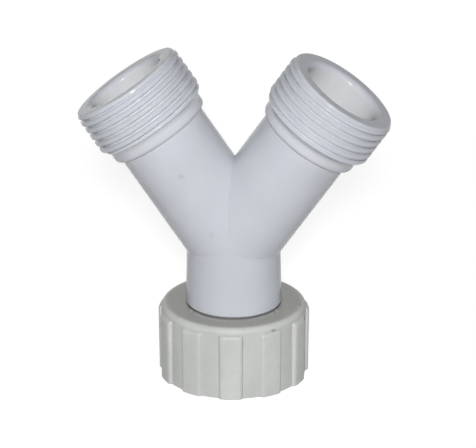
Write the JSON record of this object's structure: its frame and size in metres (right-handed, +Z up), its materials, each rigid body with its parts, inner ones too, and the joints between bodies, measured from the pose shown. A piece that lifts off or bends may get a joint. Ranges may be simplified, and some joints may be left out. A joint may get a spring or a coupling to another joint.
{
  "type": "two-way distributor fitting",
  "caption": "Y-shaped plastic water distributor: a swivel union nut with washer at the inlet, a short neck and a branch to either side with outside pipe thread.",
  "frame": {"origin": "centre of the nut's open end, the face that the fitting stands on", "axes": "+Z up the neck towards the branches; both branches lie in the XZ plane, one towards +X and one towards -X; -Y faces the viewer"},
  "size_m": [0.0692, 0.034, 0.0751],
  "materials": {
    "body": "smooth glossy moulded white plastic with a faint blue cast",
    "nut": "satin moulded grey-white plastic",
    "washer": "matt black rubber"
  },
  "bodies": {
    "distributor": {"y_body": "body"},
    "nut": {"union_nut": "nut", "sealing_washer": "washer"}
  },
  "joints": [
    {"name": "nut_swivel", "type": "hinge", "parent": "distributor", "child": "nut", "pos_m": [0, 0, 0.01546], "axis": [0, 0, 1], "continuous": true}
  ]
}
